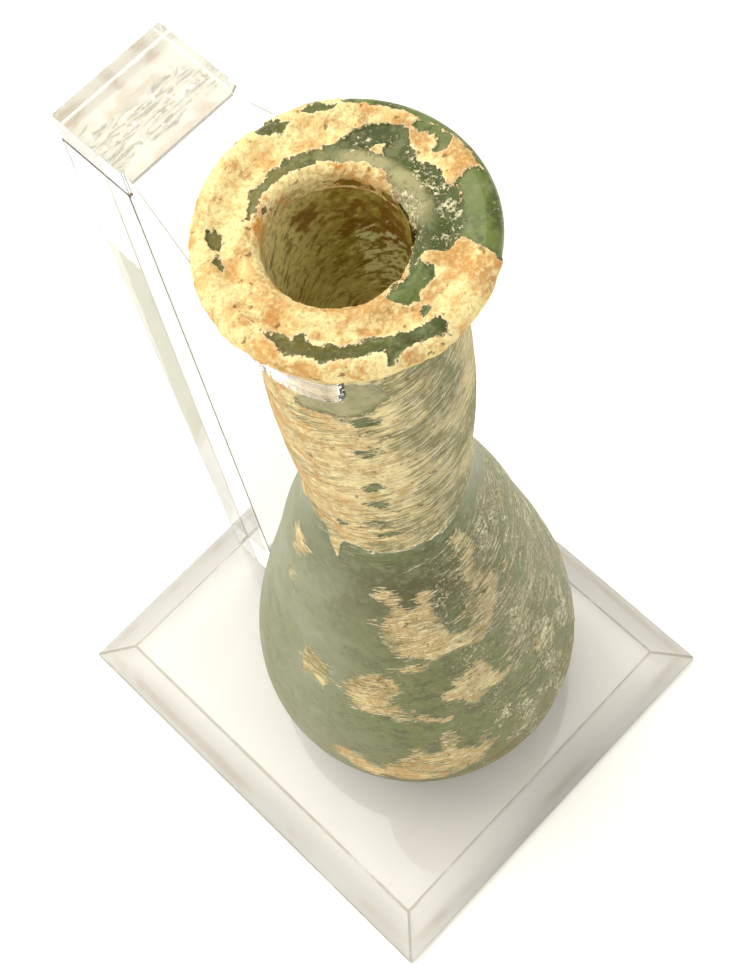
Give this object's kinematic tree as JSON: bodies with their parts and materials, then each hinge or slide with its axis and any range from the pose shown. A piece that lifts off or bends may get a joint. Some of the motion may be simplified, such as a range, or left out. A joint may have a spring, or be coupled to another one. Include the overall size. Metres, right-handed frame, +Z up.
{
  "type": "perfume flask",
  "caption": "Hollow blown-glass perfume flask with a pear-shaped body, long neck and flared rim, held upright by a clear stand with a neck fork.",
  "frame": {"origin": "centre of the stand base's flat underside, on the surface it stands on", "axes": "+Z up along the flask, +Y towards the post at the back, -Y the open side of the fork's head at the front, +X to the right seen from the front"},
  "size_m": [0.0588, 0.064, 0.122],
  "materials": {
    "weathered_glass": "satin",
    "clear_acrylic": "gloss"
  },
  "bodies": {
    "root": {"flask": "weathered_glass", "stand_base": "clear_acrylic", "stand_post": "clear_acrylic", "stand_fork": "clear_acrylic"}
  },
  "joints": []
}
